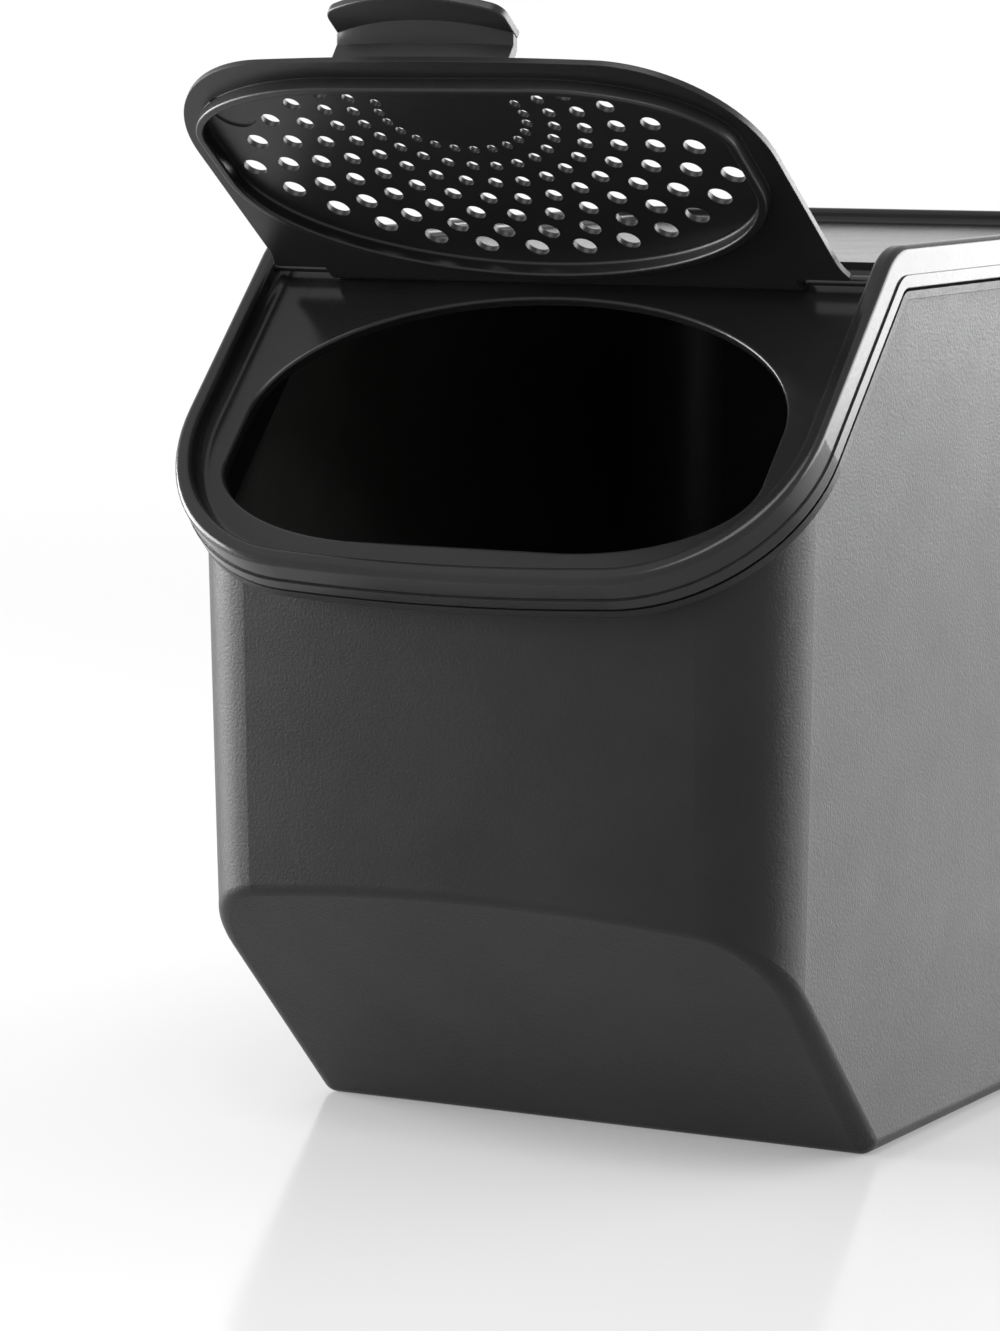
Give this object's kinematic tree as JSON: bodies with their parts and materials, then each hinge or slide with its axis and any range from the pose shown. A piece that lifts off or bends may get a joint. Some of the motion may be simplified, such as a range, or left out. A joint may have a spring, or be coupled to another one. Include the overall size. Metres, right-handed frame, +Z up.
{
  "type": "potato storage bin",
  "caption": "Free-standing kitchen storage bin with a sloping front mouth, a lift-off lid and a hinged, perforated flap with a finger tab.",
  "frame": {"origin": "middle of the flat base face, on the surface that the bin stands on", "axes": "+Z up, -Y towards the sloping front with the flap, +X to the right seen from the front"},
  "size_m": [0.1604, 0.2674, 0.2597],
  "materials": {
    "body_plastic": "matte charcoal with a fine spark-eroded grain",
    "lid_plastic": "satin charcoal",
    "flap_plastic": "satin near-black",
    "pin_plastic": "smooth black"
  },
  "bodies": {
    "bin": {"bin_body": "body_plastic"},
    "lid": {"lid": "lid_plastic", "hinge_pin_left": "pin_plastic", "hinge_pin_right": "pin_plastic"},
    "flap": {"flap": "flap_plastic"}
  },
  "joints": [
    {"name": "lid_lift", "type": "slide", "parent": "bin", "child": "lid", "axis": [0, 0, 1], "range_m": [0, 0.12]},
    {"name": "flap_hinge", "type": "hinge", "parent": "lid", "child": "flap", "pos_m": [0, -0.09882, 0.1971], "axis": [1, 0, 0], "range_deg": [0, 84.2]}
  ]
}
